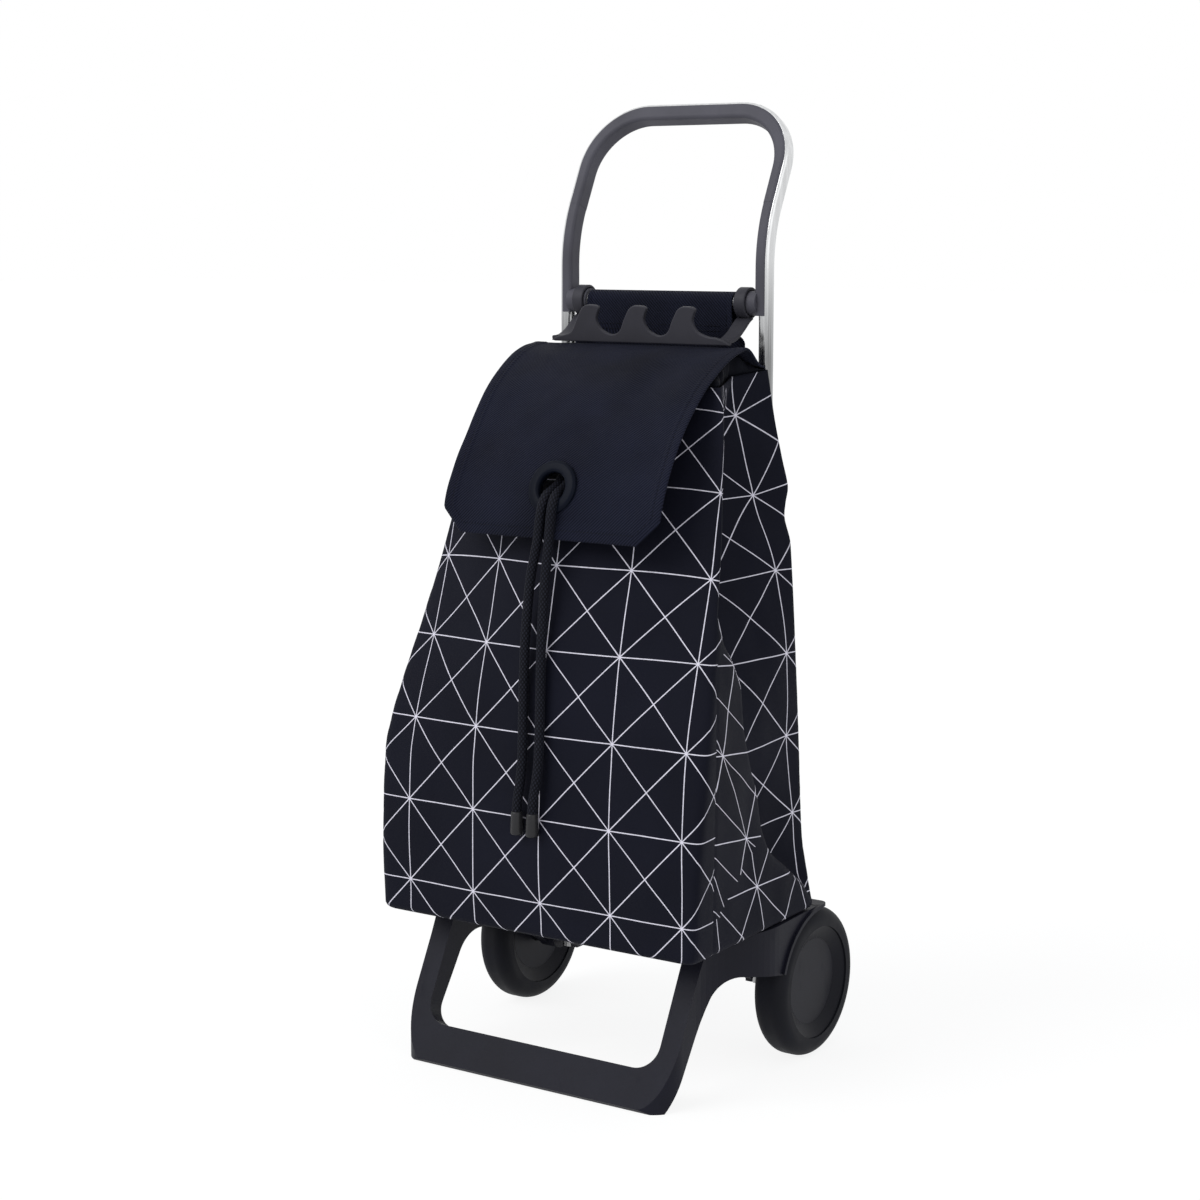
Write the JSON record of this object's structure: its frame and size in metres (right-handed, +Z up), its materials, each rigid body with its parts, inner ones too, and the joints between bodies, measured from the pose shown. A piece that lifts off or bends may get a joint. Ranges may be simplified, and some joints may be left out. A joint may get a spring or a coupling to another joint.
{
  "type": "folding shopping trolley",
  "caption": "Upright shopping trolley with an aluminium hoop handle, a soft flap-top bag, side wheels and a moulded foot that folds up about the axle.",
  "frame": {"origin": "on the floor, midway across the trolley and midway between the front of the foot and the rear of the wheels", "axes": "+X to the right seen from the front, +Y from the foot towards the rear of the wheels, +Z up"},
  "size_m": [0.404, 0.3435, 1.0051],
  "materials": {
    "alu": "brushed and anodised",
    "steel": "zinc plated",
    "grip_plastic": "fine matt moulding",
    "rack_plastic": "fine matt moulding",
    "base_plastic": "fine grained moulding",
    "bush_plastic": "plain self-lubricating plastic",
    "tyre_rubber": "smooth soft rubber",
    "rim_plastic": "satin moulding",
    "print_fabric": "printed polyester with thin pale lines",
    "twill_fabric": "heavy polyester twill",
    "lining_fabric": "thin plain lining",
    "board": "plain stiff sheet",
    "eyelet_plastic": "satin moulding",
    "cord_fabric": "braided cord"
  },
  "bodies": {
    "frame": {"frame_tube": "alu", "handle_grip": "grip_plastic", "crossbar": "alu", "bag_hook_rack": "rack_plastic", "leg_bracket_left": "rack_plastic", "leg_bracket_right": "rack_plastic", "bracket_rivets": "steel", "axle": "steel", "axle_clips": "steel", "axle_spacers": "bush_plastic", "wheel_washers": "steel", "hanger_panel": "twill_fabric", "bag_body": "print_fabric", "bag_base_board": "board", "bag_collar": "lining_fabric", "flap_yoke": "twill_fabric", "cord_left": "cord_fabric", "cord_right": "cord_fabric", "cord_tip_left": "rack_plastic", "cord_tip_right": "rack_plastic"},
    "base": {"base_moulding": "base_plastic", "hinge_bush_left": "bush_plastic", "hinge_bush_right": "bush_plastic"},
    "wheel_left": {"tyre_left": "tyre_rubber", "rim_left": "rim_plastic", "outer_disc_left": "rim_plastic", "inner_disc_left": "rim_plastic", "wheel_bush_left": "bush_plastic"},
    "wheel_right": {"tyre_right": "tyre_rubber", "rim_right": "rim_plastic", "outer_disc_right": "rim_plastic", "inner_disc_right": "rim_plastic", "wheel_bush_right": "bush_plastic"},
    "flap": {"flap": "twill_fabric", "eyelet_ring": "eyelet_plastic", "eyelet_washer": "eyelet_plastic"}
  },
  "joints": [
    {"name": "base_fold", "type": "hinge", "parent": "frame", "child": "base", "pos_m": [0, 0.0895, 0.08], "axis": [-1, 0, 0], "range_deg": [0, 80], "deforming": ["bag_body", "bag_base_board"]},
    {"name": "wheel_left_spin", "type": "hinge", "parent": "frame", "child": "wheel_left", "pos_m": [0, 0.0895, 0.08], "axis": [1, 0, 0], "continuous": true},
    {"name": "wheel_right_spin", "type": "hinge", "parent": "frame", "child": "wheel_right", "pos_m": [0, 0.0895, 0.08], "axis": [1, 0, 0], "continuous": true},
    {"name": "flap_lift", "type": "hinge", "parent": "frame", "child": "flap", "pos_m": [0, 0.0215, 0.74446], "axis": [-1, 0, 0], "range_deg": [0, 105], "deforming": ["cord_left", "cord_right"]}
  ]
}
